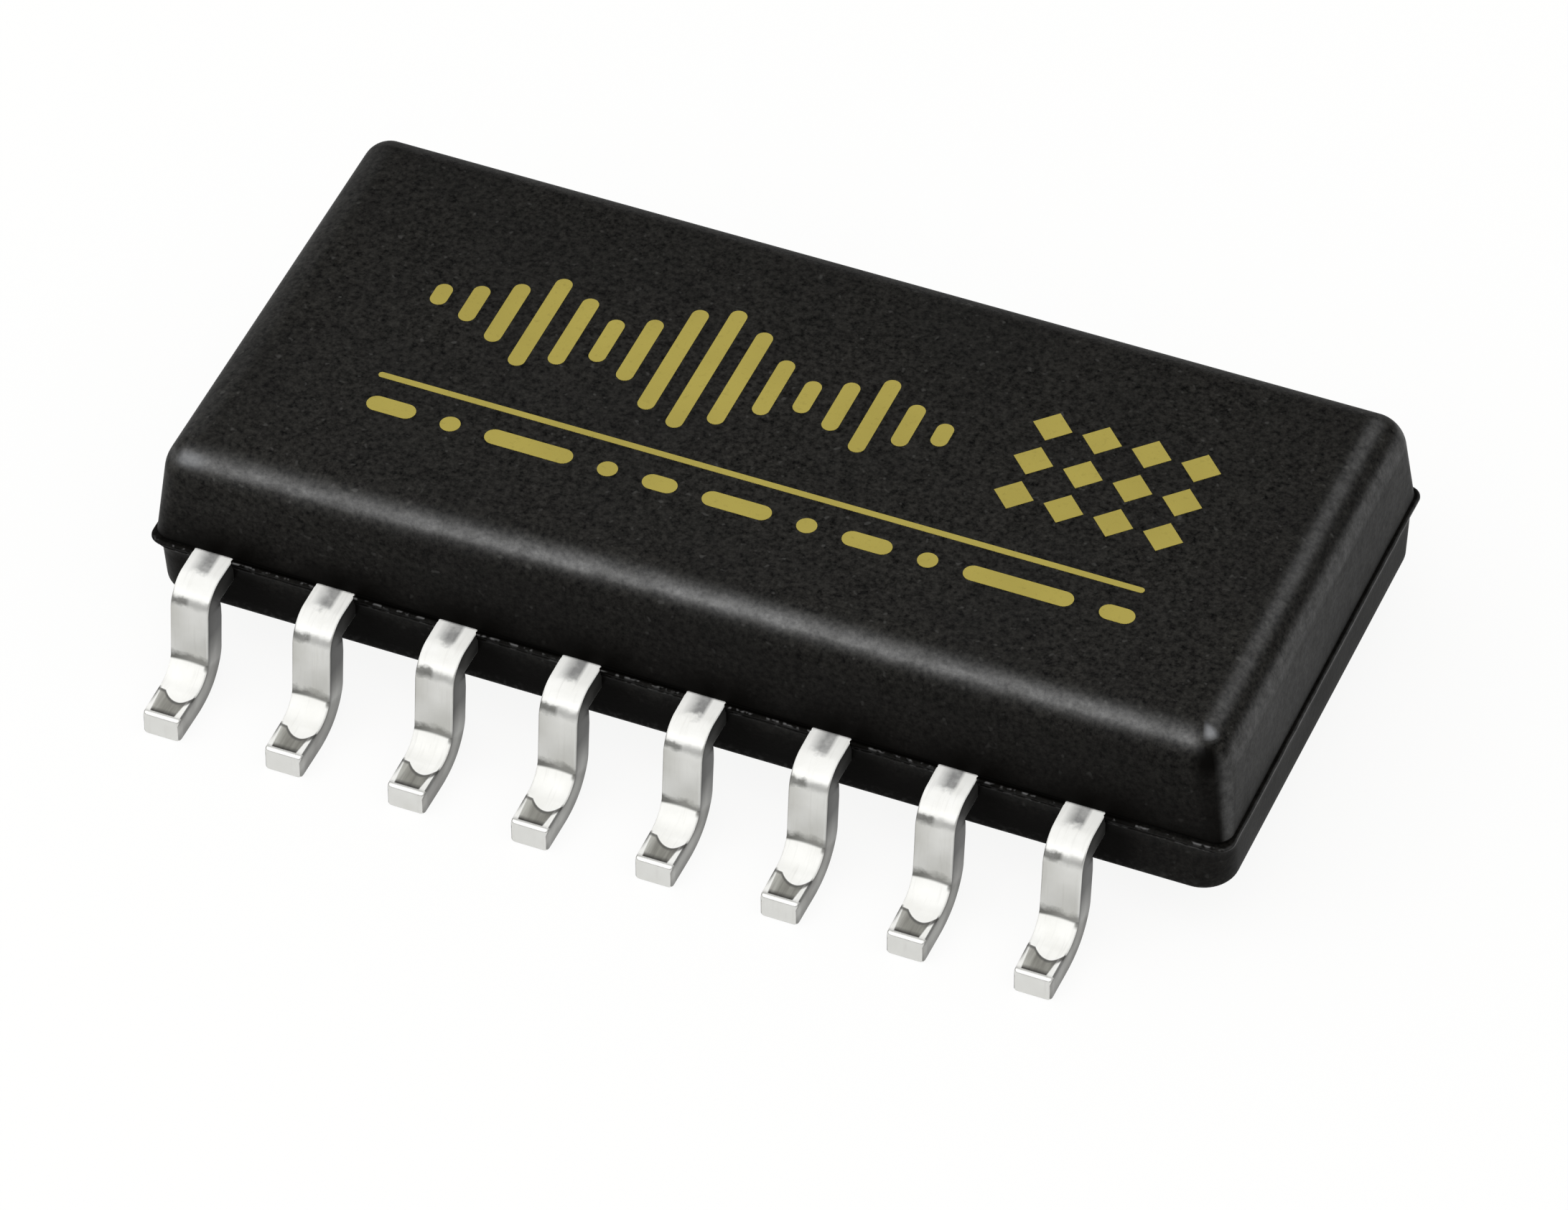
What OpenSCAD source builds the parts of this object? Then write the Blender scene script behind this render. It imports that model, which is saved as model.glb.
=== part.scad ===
// Voice chip: a small-outline package with sixteen gull-wing leads.
// X runs along the rows of leads, Y across them and Z up. The origin is under the middle of
// the package, on the plane that the feet stand on. The front row is at -Y.

/* [Package body] */
// Width of the upper half at the parting line
body_width = 5.17; // [4.9:0.01:5.6]
// Mean distance from the outermost leads to the ends of the body
end_margin = 1.03; // [0.8:0.01:1.3]
// Height of the upper half above the parting line
upper_height = 1.17; // [0.9:0.01:1.4]
// Depth of the lower half below the parting line
lower_height = 0.68; // [0.6:0.01:0.9]
// Gap between the board and the underside
stand_off = 0.58; // [0.3:0.01:0.8]
// Slope of the moulded side walls from vertical, in degrees
draft_angle = 4.4; // [3.5:0.1:6]
// Rounding of the edges around the top face
top_edge_radius = 0.45; // [0.3:0.01:0.5]
// Rounding of the edges around the underside
bottom_edge_radius = 0.1; // [0.08:0.01:0.2]
// Rounding of the upright corners at the parting line
corner_radius = 0.26; // [0.24:0.01:0.4]
// How far the lower half stands proud of the upper one
parting_step = 0.04; // [0.02:0.01:0.06]

/* [Leads] */
// Centre distance of neighbouring leads
lead_pitch = 1.27; // [1.2:0.01:1.4]
// Offset of both lead rows from the middle of the body, along X
row_offset = -0.38; // [-0.4:0.01:0.4]
// Thickness of the lead frame's sheet
sheet_thickness = 0.27; // [0.15:0.01:0.3]
// Width of a lead at its shoulder
lead_width = 0.41; // [0.34:0.01:0.5]
// Width of a lead at its toe
toe_width = 0.38; // [0.28:0.01:0.4]
// Distance from the body's wall to the outer face of the leg
shoulder_reach = 0.58; // [0.45:0.01:0.8]
// Distance from the outer face of the leg to the toe
foot_length = 0.715; // [0.5:0.005:1]
// Inner radius of the bend from shoulder to leg
shoulder_bend = 0.04; // [0.03:0.01:0.1]
// Inner radius of the bend from leg to foot
heel_bend = 0.28; // [0.1:0.01:0.34]

/* [Inside the moulding] */
// Length of the die
die_length = 2; // [1.6:0.05:2.4]
// Width of the die
die_width = 1.5; // [1.2:0.05:1.8]
// Thickness of the die
die_thickness = 0.28; // [0.2:0.01:0.35]
// Thickness of the adhesive under the die
adhesive_thickness = 0.03; // [0.02:0.01:0.05]
// Rim of the plate beyond the die at its ends
pad_end_rim = 0.5; // [0.2:0.01:0.6]
// Rim of the plate beyond the die along its sides
pad_side_rim = 0.3; // [0.2:0.01:0.4]
// How far the plate lies below the leads
pad_drop = 0.2; // [0.1:0.01:0.25]
// Width of the lead fingers
finger_width = 0.26; // [0.2:0.01:0.3]
// Gap between the plate and the fingers around it
finger_gap = 0.2; // [0.15:0.01:0.25]
// Diameter of a bond wire
wire_diameter = 0.03; // [0.025:0.001:0.04]
// Height of a wire's loop above the die
wire_loop = 0.32; // [0.2:0.01:0.45]

/* [Hidden] */
$fn = 48;

leads_per_side = 8;
lead_count = 2 * leads_per_side;

// Extra length that lets one solid cut right through another
overcut = 0.2;
// Small outward shift that makes a round cut cross its wall instead of grazing it
crossing = 0.002;

// Heights above the board
parting_z = stand_off + lower_height;
frame_bottom_z = parting_z - sheet_thickness;
pad_bottom_z = frame_bottom_z - pad_drop;
adhesive_z = pad_bottom_z + sheet_thickness;
die_z = adhesive_z + adhesive_thickness;
die_top_z = die_z + die_thickness;

// The body is as long as its rows of leads and a margin at each end
body_length = (leads_per_side - 1) * lead_pitch + 2 * end_margin;

// Distances from the middle plane out to the parts of a lead
wall_y = body_width / 2;
leg_y = wall_y + shoulder_reach;
shoulder_end_y = leg_y - shoulder_bend - sheet_thickness;
foot_start_y = leg_y + heel_bend;
toe_y = leg_y + foot_length;

// The wide part of a lead that the moulding grips, measured in from the wall
anchor_margin = 0.07;
anchor_depth = 0.25;
anchor_length = 0.35;
anchor_end_y = wall_y - anchor_depth;
anchor_start_y = anchor_end_y - anchor_length;

// The plate under the die, and the bars that carry it while the package is moulded
pad_length = die_length + 2 * pad_end_rim;
pad_width = die_width + 2 * pad_side_rim;
tie_width = 0.24;
tie_inset = 0.3;
tie_slope_start = 0.3;
tie_slope_end = 0.8;

// Fingers: two on each side of the middle reach the plate's long edge, the others its ends
middle_fingers = 2;
tip_spacing = 0.36;
tie_spacing = 0.17;
side_spacing = 0.27;
side_knee_depth = [0.25, 0.85];

// Places of the wire bonds on the die
bond_margin = 0.1;
bond_corner = 0.37;
bond_step = 0.22;
adhesive_margin = 0.06;

// A wire leaves the die more steeply than it lands
wire_rise = 1.6;
wire_sides = 6;
wire_rings = 8;

body_colour = [0.14, 0.14, 0.15];
tin_colour = [0.8, 0.81, 0.82];
plate_colour = [0.75, 0.72, 0.68];
adhesive_colour = [0.66, 0.65, 0.62];
die_colour = [0.33, 0.35, 0.42];
gold_colour = [0.86, 0.69, 0.3];

// How far a drafted wall leans in over a height
function lean(height) = height * tan(draft_angle);

// Half the width of a lead at a distance from the middle plane
function lead_half_width(y) =
    y <= wall_y ? lead_width / 2
    : (lead_width + (toe_width - lead_width) * (y - wall_y) / (toe_y - wall_y)) / 2;

// Place of a lead in its row, counted from the middle of the row
function row_step(number) =
    (number - 1) % leads_per_side - (leads_per_side - 1) / 2;

// True where a finger runs to the long side of the plate
function is_middle(step) = abs(step) < middle_fingers;

// Index of a side finger: 0 for the inner one, 1 for the outer one
function side_index(step) = abs(step) < middle_fingers + 1 ? 0 : 1;

// Middle of a finger's round tip, on the plan of the front row turned to +Y
function finger_tip(step) =
    is_middle(step)
    ? [step * (finger_width + tip_spacing), pad_width / 2 + finger_gap + finger_width / 2]
    : [sign(step) * (pad_length / 2 + finger_gap + finger_width / 2), side_tip_y(side_index(step))];

// Distance of a side finger's tip from the tie bar's middle line
function side_tip_y(index) =
    tie_width / 2 + tie_spacing + finger_width / 2 + (1 - index) * (finger_width + side_spacing);

// Point where a finger turns towards its tip
function finger_knee(step) =
    [step * lead_pitch, anchor_start_y - (is_middle(step) ? 0 : side_knee_depth[side_index(step)])];

// Place of a wire's bond on the die, on the same plan
function die_bond(step) =
    is_middle(step)
    ? [step * (die_length - 2 * bond_corner) / (2 * middle_fingers - 1), die_width / 2 - bond_margin]
    : [sign(step) * (die_length / 2 - bond_margin),
        die_width / 2 - bond_corner - side_index(step) * bond_step];

// Point and slope of a cubic curve through its four control points
function curve_point(c, t) =
    pow(1 - t, 3) * c[0] + 3 * t * pow(1 - t, 2) * c[1] + 3 * t * t * (1 - t) * c[2] + pow(t, 3) * c[3];
function curve_slope(c, t) =
    pow(1 - t, 2) * (c[1] - c[0]) + 2 * t * (1 - t) * (c[2] - c[1]) + t * t * (c[3] - c[2]);
function unit(v) = v / norm(v);

// One ring of points around a wire that lies in an upright plane
function wire_ring(centre, along, sideways) =
    let (upward = cross(unit(along), sideways))
    [for (side = [0 : wire_sides - 1])
        let (angle = 360 * side / wire_sides)
        centre + wire_diameter / 2 * (cos(angle) * sideways + sin(angle) * upward)];

// Section of one moulded half: drafted walls with rounded edges above
module half_section(half_width, height, edge_radius) {
    round_x = half_width - lean(height - edge_radius) - edge_radius;
    round_y = height - edge_radius + crossing;
    intersection() {
        polygon([
            [-half_width, 0],
            [half_width, 0],
            [half_width - lean(height), height],
            [lean(height) - half_width, height]
        ]);
        union() {
            translate([-half_width - overcut, 0])
                square([2 * (half_width + overcut), round_y + lean(edge_radius) / 2]);
            translate([-round_x, 0])
                square([2 * round_x, height + overcut]);
            for (side = [-1, 1])
                translate([side * round_x, round_y])
                    circle(edge_radius);
        }
    }
}

// What is taken off an upright corner to round it
module corner_waste(half_length, half_width, height, radius) {
    translate([half_length - radius + crossing, half_width - radius + crossing, -overcut])
        difference() {
            cube([radius + overcut, radius + overcut, height + 2 * overcut]);
            cylinder(h = height + 2 * overcut, r1 = radius + lean(overcut), r2 = radius - lean(height + overcut));
        }
}

// One half of the moulding, from the parting plane up
module moulded_half(length, width, height, edge_radius) {
    difference() {
        intersection() {
            rotate([90, 0, 90])
                translate([0, 0, -length / 2 - overcut])
                    linear_extrude(length + 2 * overcut)
                        half_section(width / 2, height, edge_radius);
            rotate([90, 0, 0])
                translate([0, 0, -width / 2 - overcut])
                    linear_extrude(width + 2 * overcut)
                        half_section(length / 2, height, edge_radius);
        }
        for (end = [0, 1], side = [0, 1])
            mirror([end, 0, 0])
                mirror([0, side, 0])
                    corner_waste(length / 2, width / 2, height, corner_radius);
    }
}

// Places the plan of a front-row lead on its own row: front leads 1 to 8, back leads 9 to 16
module on_row(number) {
    translate([row_offset, 0, 0])
        rotate(number <= leads_per_side ? 0 : 180)
            mirror([0, 1, 0])
                children();
}

// A straight bar on the plan, with round ends
module plan_bar(start, end, width) {
    direction = unit(end - start);
    offset_side = [-direction.y, direction.x] * width / 2;
    polygon([start + offset_side, end + offset_side, end - offset_side, start - offset_side]);
    translate(start)
        circle(d = width);
    translate(end)
        circle(d = width);
}

// Plan of a lead from its finger tip to the end of its shoulder
module flat_plan(step) {
    lead_x = step * lead_pitch;
    knee = finger_knee(step);
    plan_bar(finger_tip(step), knee, finger_width);
    translate([lead_x - finger_width / 2, knee.y])
        square([finger_width, anchor_end_y - knee.y]);
    translate([lead_x - lead_width / 2 - anchor_margin, anchor_start_y])
        square([lead_width + 2 * anchor_margin, anchor_end_y - anchor_start_y]);
    translate([lead_x, 0])
        polygon([
            [-lead_width / 2, anchor_start_y],
            [lead_width / 2, anchor_start_y],
            [lead_width / 2, wall_y],
            [lead_half_width(shoulder_end_y), shoulder_end_y],
            [-lead_half_width(shoulder_end_y), shoulder_end_y],
            [-lead_width / 2, wall_y]
        ]);
}

// The flat part of a lead
module lead_flat(step) {
    translate([0, 0, frame_bottom_z])
        linear_extrude(sheet_thickness)
            flat_plan(step);
}

// A quarter bend of the sheet, in the quadrant that the signs give
module bend_section(inner_radius, sign_x, sign_y) {
    reach = inner_radius + sheet_thickness;
    intersection() {
        difference() {
            circle(reach);
            circle(inner_radius);
        }
        translate([sign_x > 0 ? 0 : -2 * reach, sign_y > 0 ? 0 : -2 * reach])
            square(2 * reach);
    }
}

// Side view of a lead beyond its shoulder
module gull_wing_section() {
    leg_top_z = frame_bottom_z - shoulder_bend;
    leg_end_z = sheet_thickness + heel_bend;
    translate([shoulder_end_y, leg_top_z])
        bend_section(shoulder_bend, 1, 1);
    translate([leg_y - sheet_thickness, leg_end_z])
        square([sheet_thickness, leg_top_z - leg_end_z]);
    translate([foot_start_y, leg_end_z])
        bend_section(heel_bend, -1, -1);
    translate([foot_start_y, 0])
        square([toe_y - foot_start_y, sheet_thickness]);
}

// The bent part of a lead, tapered towards its toe
module gull_wing(step) {
    end_y = toe_y + overcut;
    translate([step * lead_pitch, 0, 0])
        intersection() {
            rotate([90, 0, 90])
                translate([0, 0, -lead_width])
                    linear_extrude(2 * lead_width)
                        gull_wing_section();
            translate([0, 0, -overcut])
                linear_extrude(parting_z + 2 * overcut)
                    polygon([
                        [-lead_width / 2, wall_y],
                        [lead_width / 2, wall_y],
                        [lead_half_width(end_y), end_y],
                        [-lead_half_width(end_y), end_y]
                    ]);
        }
}

// A whole lead
module lead(number) {
    step = row_step(number);
    color(tin_colour)
        on_row(number) {
            lead_flat(step);
            gull_wing(step);
        }
}

// One bar from the plate to the end of the body, stepped up to the level of the leads
module tie_bar(length) {
    rotate([90, 0, 0])
        translate([0, 0, -tie_width / 2])
            linear_extrude(tie_width)
                polygon([
                    [0, pad_bottom_z],
                    [tie_slope_start, pad_bottom_z],
                    [tie_slope_end, frame_bottom_z],
                    [length, frame_bottom_z],
                    [length, parting_z],
                    [tie_slope_end, parting_z],
                    [tie_slope_start, adhesive_z],
                    [0, adhesive_z]
                ]);
}

// The plate under the die, with its two tie bars
module die_pad() {
    half_inner = body_length / 2 - tie_inset - pad_length / 2;
    color(plate_colour)
        translate([row_offset, 0, 0]) {
            translate([-pad_length / 2, -pad_width / 2, pad_bottom_z])
                cube([pad_length, pad_width, sheet_thickness]);
            translate([pad_length / 2, 0, 0])
                tie_bar(half_inner - row_offset);
            translate([-pad_length / 2, 0, 0])
                mirror([1, 0, 0])
                    tie_bar(half_inner + row_offset);
        }
}

// The layer of adhesive that holds the die
module die_adhesive() {
    length = die_length + 2 * adhesive_margin;
    width = die_width + 2 * adhesive_margin;
    color(adhesive_colour)
        translate([row_offset - length / 2, -width / 2, adhesive_z])
            cube([length, width, adhesive_thickness]);
}

// The silicon die
module die() {
    color(die_colour)
        translate([row_offset - die_length / 2, -die_width / 2, die_z])
            cube([die_length, die_width, die_thickness]);
}

// A wire from the die to its lead. Its ends go deeper by the given length, to cut its channel
module wire_sweep(step, deeper) {
    foot = [die_bond(step).x, die_bond(step).y, die_top_z];
    landing = [finger_tip(step).x, finger_tip(step).y, parting_z];
    up = [0, 0, 1];
    curve = [foot, foot + wire_rise * wire_loop * up, landing + wire_loop * up, landing];
    run = landing - foot;
    sideways = unit([-run.y, run.x, 0]);
    loop_rings = [for (ring = [0 : wire_rings])
        let (t = ring / wire_rings)
        wire_ring(curve_point(curve, t), curve_slope(curve, t), sideways)];
    rings = deeper == 0 ? loop_rings : concat(
        [wire_ring(foot - deeper * up, up, sideways)],
        loop_rings,
        [wire_ring(landing - deeper * up, -up, sideways)]
    );
    last = len(rings) - 1;
    polyhedron(
        points = [for (ring = rings) each ring],
        faces = concat(
            [[for (side = [0 : wire_sides - 1]) side]],
            [for (ring = [0 : last - 1], side = [0 : wire_sides - 1])
                let (next = (side + 1) % wire_sides)
                [
                    ring * wire_sides + next,
                    ring * wire_sides + side,
                    (ring + 1) * wire_sides + side,
                    (ring + 1) * wire_sides + next
                ]],
            [[for (side = [wire_sides - 1 : -1 : 0]) last * wire_sides + side]]
        )
    );
}

// A bond wire
module bond_wire(number) {
    color(gold_colour)
        on_row(number)
            wire_sweep(row_step(number), 0);
}

// The moulding, closed around everything inside it
module package_body() {
    step_out = 2 * parting_step;
    channel_depth = wire_diameter / 2;
    color(body_colour)
        difference() {
            union() {
                translate([0, 0, parting_z])
                    moulded_half(body_length, body_width, upper_height, top_edge_radius);
                translate([0, 0, parting_z])
                    mirror([0, 0, 1])
                        moulded_half(body_length + step_out, body_width + step_out, lower_height,
                            bottom_edge_radius);
            }
            die_pad();
            die_adhesive();
            die();
            for (number = [1 : lead_count])
                on_row(number) {
                    lead_flat(row_step(number));
                    wire_sweep(row_step(number), channel_depth);
                }
        }
}

package_body();
die_pad();
die_adhesive();
die();
for (number = [1 : lead_count]) {
    lead(number);
    bond_wire(number);
}
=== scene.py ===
# Voice chip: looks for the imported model, in metres and in the model's own frame.
from collections import namedtuple
from math import atan2, copysign, cos, degrees, pi, radians, sin, tan

import bpy
from mathutils import Matrix, Vector, noise
from mathutils.geometry import delaunay_2d_cdt


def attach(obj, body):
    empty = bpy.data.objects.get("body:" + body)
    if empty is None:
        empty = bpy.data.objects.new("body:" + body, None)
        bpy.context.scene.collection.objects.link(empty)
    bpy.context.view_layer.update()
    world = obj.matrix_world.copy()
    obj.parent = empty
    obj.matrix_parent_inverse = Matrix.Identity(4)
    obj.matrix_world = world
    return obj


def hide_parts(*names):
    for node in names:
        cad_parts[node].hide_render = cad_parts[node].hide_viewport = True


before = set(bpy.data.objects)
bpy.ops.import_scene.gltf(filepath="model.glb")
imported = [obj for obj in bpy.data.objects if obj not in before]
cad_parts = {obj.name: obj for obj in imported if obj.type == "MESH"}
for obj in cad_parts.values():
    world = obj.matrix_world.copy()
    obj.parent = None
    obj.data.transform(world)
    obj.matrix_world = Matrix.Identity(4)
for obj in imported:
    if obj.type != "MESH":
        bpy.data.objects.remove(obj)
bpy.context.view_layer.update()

MM = 0.001

# Package sizes in millimetres, the same as in the part's source
BODY_WIDTH = 5.17
LEAD_PITCH = 1.27
LEADS_PER_SIDE = 8
END_MARGIN = 1.03
BODY_LENGTH = (LEADS_PER_SIDE - 1) * LEAD_PITCH + 2 * END_MARGIN
UPPER_HEIGHT = 1.17
LOWER_HEIGHT = 0.68
STAND_OFF = 0.58
DRAFT = radians(4.4)
TOP_EDGE_RADIUS = 0.45
PARTING_STEP = 0.04
PARTING_Z = STAND_OFF + LOWER_HEIGHT
ROW_OFFSET = -0.38
SHEET = 0.27
LEAD_WIDTH = 0.41
TOE_WIDTH = 0.38
SHOULDER_REACH = 0.58
FOOT_LENGTH = 0.715
SHOULDER_BEND = 0.04
WALL_Y = BODY_WIDTH / 2
LEG_Y = WALL_Y + SHOULDER_REACH
SHOULDER_END_Y = LEG_Y - SHOULDER_BEND - SHEET
TOE_Y = LEG_Y + FOOT_LENGTH
FRAME_BOTTOM_Z = PARTING_Z - SHEET

# Inner ends of the leads, the same as in the part's source
ANCHOR_MARGIN = 0.07
ANCHOR_DEPTH = 0.25
ANCHOR_LENGTH = 0.35
ANCHOR_END_Y = WALL_Y - ANCHOR_DEPTH
ANCHOR_START_Y = ANCHOR_END_Y - ANCHOR_LENGTH
FINGER_WIDTH = 0.26
FINGER_GAP = 0.2
PAD_LENGTH = 3.0
PAD_WIDTH = 2.1
TIE_WIDTH = 0.24
TIP_SPACING = 0.36
TIE_SPACING = 0.17
SIDE_SPACING = 0.27
MIDDLE_FINGERS = 2
SIDE_KNEE_DEPTH = (0.25, 0.85)
FINGER_OVERLAP = 0.05

# Fineness of the meshes
SIDE_STEPS = (256, 144, 256, 144)
CORNER_STEPS = 14
TOP_FILLET_STEPS = 20
BOTTOM_FILLET_STEPS = 8
LEAD_BEND_STEPS = 20
LEAD_EDGE_STEPS = 4
LEAD_ACROSS_STEPS = 8
BAR_END_STEPS = 12
PLAN_TOLERANCE = 1e-5
# Rings of the flat underside and the flat top, by their insets from the rounded edge, and of the walls,
# by shares of the lower one and by rises above the parting line
UNDERSIDE_INSETS = (1.6, 0.5, 0.15, 0.03)
TOP_INSETS = (0.03, 0.1, 0.5, 1.5)
LOWER_WALL_SHARES = (0.2, 0.4, 0.6, 0.8, 1.0)
UPPER_WALL_RISES = (0.045, 0.07, 0.1, 0.14, 0.19, 0.26, 0.34, 0.45, 0.58)
# Rows of a lead, by shares of its shoulder, leg and foot
SHOULDER_SHARES = (0.0, 0.15, 0.3, 0.45, 0.6, 0.75, 0.9)
LEG_SHARES = (0.1, 0.3, 0.5, 0.7, 0.9)
FOOT_SHARES = (0.15, 0.3, 0.45, 0.6, 0.75, 0.9)

# Small forms that only the dressed model has
INK_HEIGHT = 0.004
INK_SINK = 0.002
LEAD_EDGE_RADIUS = 0.02
TOE_EDGE_RADIUS = 0.045
SOFT_BOTTOM_RADIUS = 0.085
MITRE_SHARE = 0.8
LEAST_CORNER = 0.04
# The uneven lip: how far it moves, the length of its waves, the noise from which it stands out in full,
# how much more it moves sideways, and the finer and shifted noise of its upward waves
LIP_WOBBLE = 0.003
LIP_WOBBLE_PERIOD = 0.24
LIP_FULL_LEVEL = 0.3
LIP_SIDEWAYS = 2
LIP_UPWARD_SCALE = 1.3
LIP_UPWARD_SHIFT = Vector((7.0, 3.0, 5.0))
# Corner radius of the upper half at the parting line and where its edge starts to round over
UPPER_CORNERS = (0.17, 0.27)
# Corner radius of the lower half just under the lip and at the bottom
LOWER_CORNERS = (0.28, 0.35)
LIP_FOOT_DEPTH = 0.13
LIP_FOOT_INSET = 0.002
# Shine of the rounded bottom edge
BOTTOM_EDGE_SHINE = 0.1
# The lip under the parting line, from its foot up: depth, inset, corner radius, shine and grey tone, the
# tone being painted shade that is darkest in its notch and at its top
LIP = (
    (0.105, -0.006, 0.24, 0.0, 0.62), (0.09, -0.016, 0.22, 0.3, 0.7), (0.078, -0.022, 0.2, 0.5, 0.7),
    (0.07, -0.018, 0.19, 0.1, 0.3), (0.064, -0.002, 0.19, 0.0, 0.0), (0.056, -0.002, 0.19, 0.0, 0.0),
    (0.05, -0.02, 0.17, 0.0, 0.05), (0.042, -0.036, 0.16, 0.0, 0.3), (0.03, -0.04, 0.15, 0.1, 0.4),
    (0.018, -0.039, 0.15, 0.4, 0.4), (0.008, -0.031, 0.15, 0.9, 0.2), (0.002, -0.016, 0.15, 0.3, 0.0),
)
# The groove above the lip, from its lower edge up: rise, inset and corner radius
GROOVE = (
    (-0.003, -0.004, 0.15), (-0.006, 0.012, 0.16), (0.0, 0.022, 0.165), (0.01, 0.024, 0.165),
    (0.016, 0.022, 0.165), (0.02, 0.012, 0.17), (0.023, 0.004, 0.17), (0.03, 0.0024, 0.17),
)
# How grey the groove is at most on the right end, the length of its worn stretches, how much of it is
# worn and how sharply
GROOVE_TONE = 0.75
GROOVE_PERIOD = 0.34
GROOVE_WEAR = 0.15
GROOVE_CONTRAST = 2.0
# How far each edge of the top is rubbed smooth, by the slope of its surface in degrees
FRONT_RUB = (
    (8, 0.0), (12, 0.02), (18, 0.1), (24, 0.29), (30, 0.6), (36, 0.92), (42, 0.9), (48, 0.32), (54, 0.11),
    (60, 0.02), (66, 0.0),
)
# How far down the front's rubbed band lies at places along it, in degrees of slope
FRONT_RUB_SHIFT = ((-5.4, 15.0), (-5.0, 13.0), (-3.0, 10.0), (-0.5, 1.6), (1.5, 0.6), (4.5, 0.8))
# How strong that band is at places along it
FRONT_RUB_LEVEL = ((1.8, 1.0), (3.2, 0.9))
RIGHT_RUB = (
    (6, 0.0), (12, 0.09), (18, 0.58), (24, 0.88), (30, 0.68), (36, 0.13), (42, 0.0), (48, 0.0), (54, 0.29),
    (60, 0.45), (66, 0.4), (72, 0.33), (78, 0.28), (84, 0.12), (90, 0.03),
)
LEFT_RUB = ((6, 0.0), (18, 0.2), (30, 0.1), (42, 0.0))
BACK_RUB = ((10, 0.0), (20, 0.1), (30, 0.0))
# The front's rub before its right end, by the distance to where the corner starts
FRONT_END = ((0.0, 0.3), (0.06, 0.75), (0.13, 1.0))
# The corner there, by its turn from front to right in degrees: how far the rub of the front and of the
# right end goes round it, and where its own painted highlight, edge and painted dark shade lie
CORNER_FRONT = ((0, 1.0), (6, 0.8), (18, 0.0))
CORNER_RIGHT = ((45, 0.0), (70, 0.7), (90, 1.0))
GLINT_TURN = ((5, 0.0), (38, 1.0), (58, 1.0), (88, 0.0))
GLINT_SLOPE = ((15, 0.0), (25, 0.9), (31, 1.0), (39, 0.0))
EDGE_TURN = ((36, 0.0), (54, 1.0), (64, 0.95), (76, 0.65), (86, 0.25), (90, 0.0))
EDGE_SLOPE = ((50, 0.0), (60, 0.4), (68, 0.5), (90, 0.5))
CORNER_SHADE_TURN = ((0, 0.8), (6, 1.0), (34, 1.0), (54, 0.0))
CORNER_SHADE_SLOPE = ((40, 0.0), (48, 1.0), (70, 1.0), (84, 0.55), (90, 0.5))
CORNER_SHADE_END = ((0.0, 0.8), (0.09, 0.0))
# The corner at the front's left end, by its turn from front to left: how far the front's rub goes round
# it, a faint rub down its upright edge and a painted highlight where the band ends
CORNER_LEFT = ((0, 1.0), (25, 1.0), (45, 0.7), (67, 0.2), (90, 0.0))
LEFT_EDGE_TURN = ((8, 0.0), (30, 0.04), (60, 0.04), (75, 0.0))
LEFT_EDGE_SLOPE = ((55, 0.0), (70, 1.0))
LEFT_GLINT_TURN = ((0, 1.0), (18, 0.8), (40, 0.0))
LEFT_GLINT_SLOPE = ((38, 0.0), (46, 1.0), (54, 1.0), (62, 0.0))
LEFT_GLINT_END = ((0.0, 0.56), (0.08, 0.52), (0.22, 0.0))
# Shade on the walls beside each lead, by the distance along the row from the lead's middle, above
# and below the parting line, and how much of it is left by height
UPPER_SHADE = ((-0.42, 0.0), (-0.2, 0.8), (0.0, 1.0), (0.3, 1.0), (0.5, 0.6), (0.72, 0.0))
LOWER_SHADE = ((-0.22, 0.0), (-0.1, 0.6), (0.0, 1.0), (0.34, 0.97), (0.48, 0.4), (0.62, 0.0))
SHADE_HEIGHT = ((1.28, 1.0), (1.42, 0.92), (1.5, 0.6), (1.6, 0.3), (1.75, 0.0))
# How smooth the lip is rubbed on the right end, and how far out it has to stand for that
LIP_RIGHT_RUB = 0.5
LIP_CREST = 0.4
# How grey the moulding is on its walls, by height, as painted shade: darker down towards the parting line
WALL_PAINTED_SHADE = (
    (1.285, 0.0), (1.3, 0.02), (1.33, 0.12), (1.39, 0.21), (1.45, 0.28), (1.6, 0.37), (1.7, 0.44),
    (1.8, 0.49), (1.98, 0.52), (2.1, 0.56), (2.2, 0.74), (2.3, 1.0),
)
# How grey the lower half is, by height, darker towards the bottom as painted shade, and how grey the
# underside is
LOWER_PAINTED_SHADE = ((0.75, 0.0), (0.9, 0.04), (1.0, 0.15), (1.08, 0.34), (1.14, 0.56))
UNDERSIDE_TONE = 0.4
# How much of its tone the top keeps from front to back, up to the given slope
TOP_TONE = ((-1.0, 1.0), (2.0, 0.86))
TOP_SLOPE = 40.0
# Slope that the upper wall counts as
WALL_SLOPE = 86.0
# How much lighter the front is at places along it, with less of its painted shade, and the least tone of
# its lower half there, lighter past the end leads
FRONT_TONE = ((-5.4, 1.6), (-5.0, 1.4), (-3.0, 1.25), (-1.0, 1.0))
LOWER_END_TONE = ((-5.2, 0.3), (-4.9, 0.0), (4.3, 0.0), (4.6, 0.36))
# The way a place faces: squarely to the front or back, to the back at all, and clearly to the left
SQUARE_FACING = 0.99
BACK_FACING = 0.01
LEFT_FACING = -0.5
RIGHT = 1
LEFT = -1
# Corners of a rectangle in turn: the signs of its two directions and the angle where the arc starts
CORNERS = ((1, 1, 0), (-1, 1, 90), (-1, -1, 180), (1, -1, 270))

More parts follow.
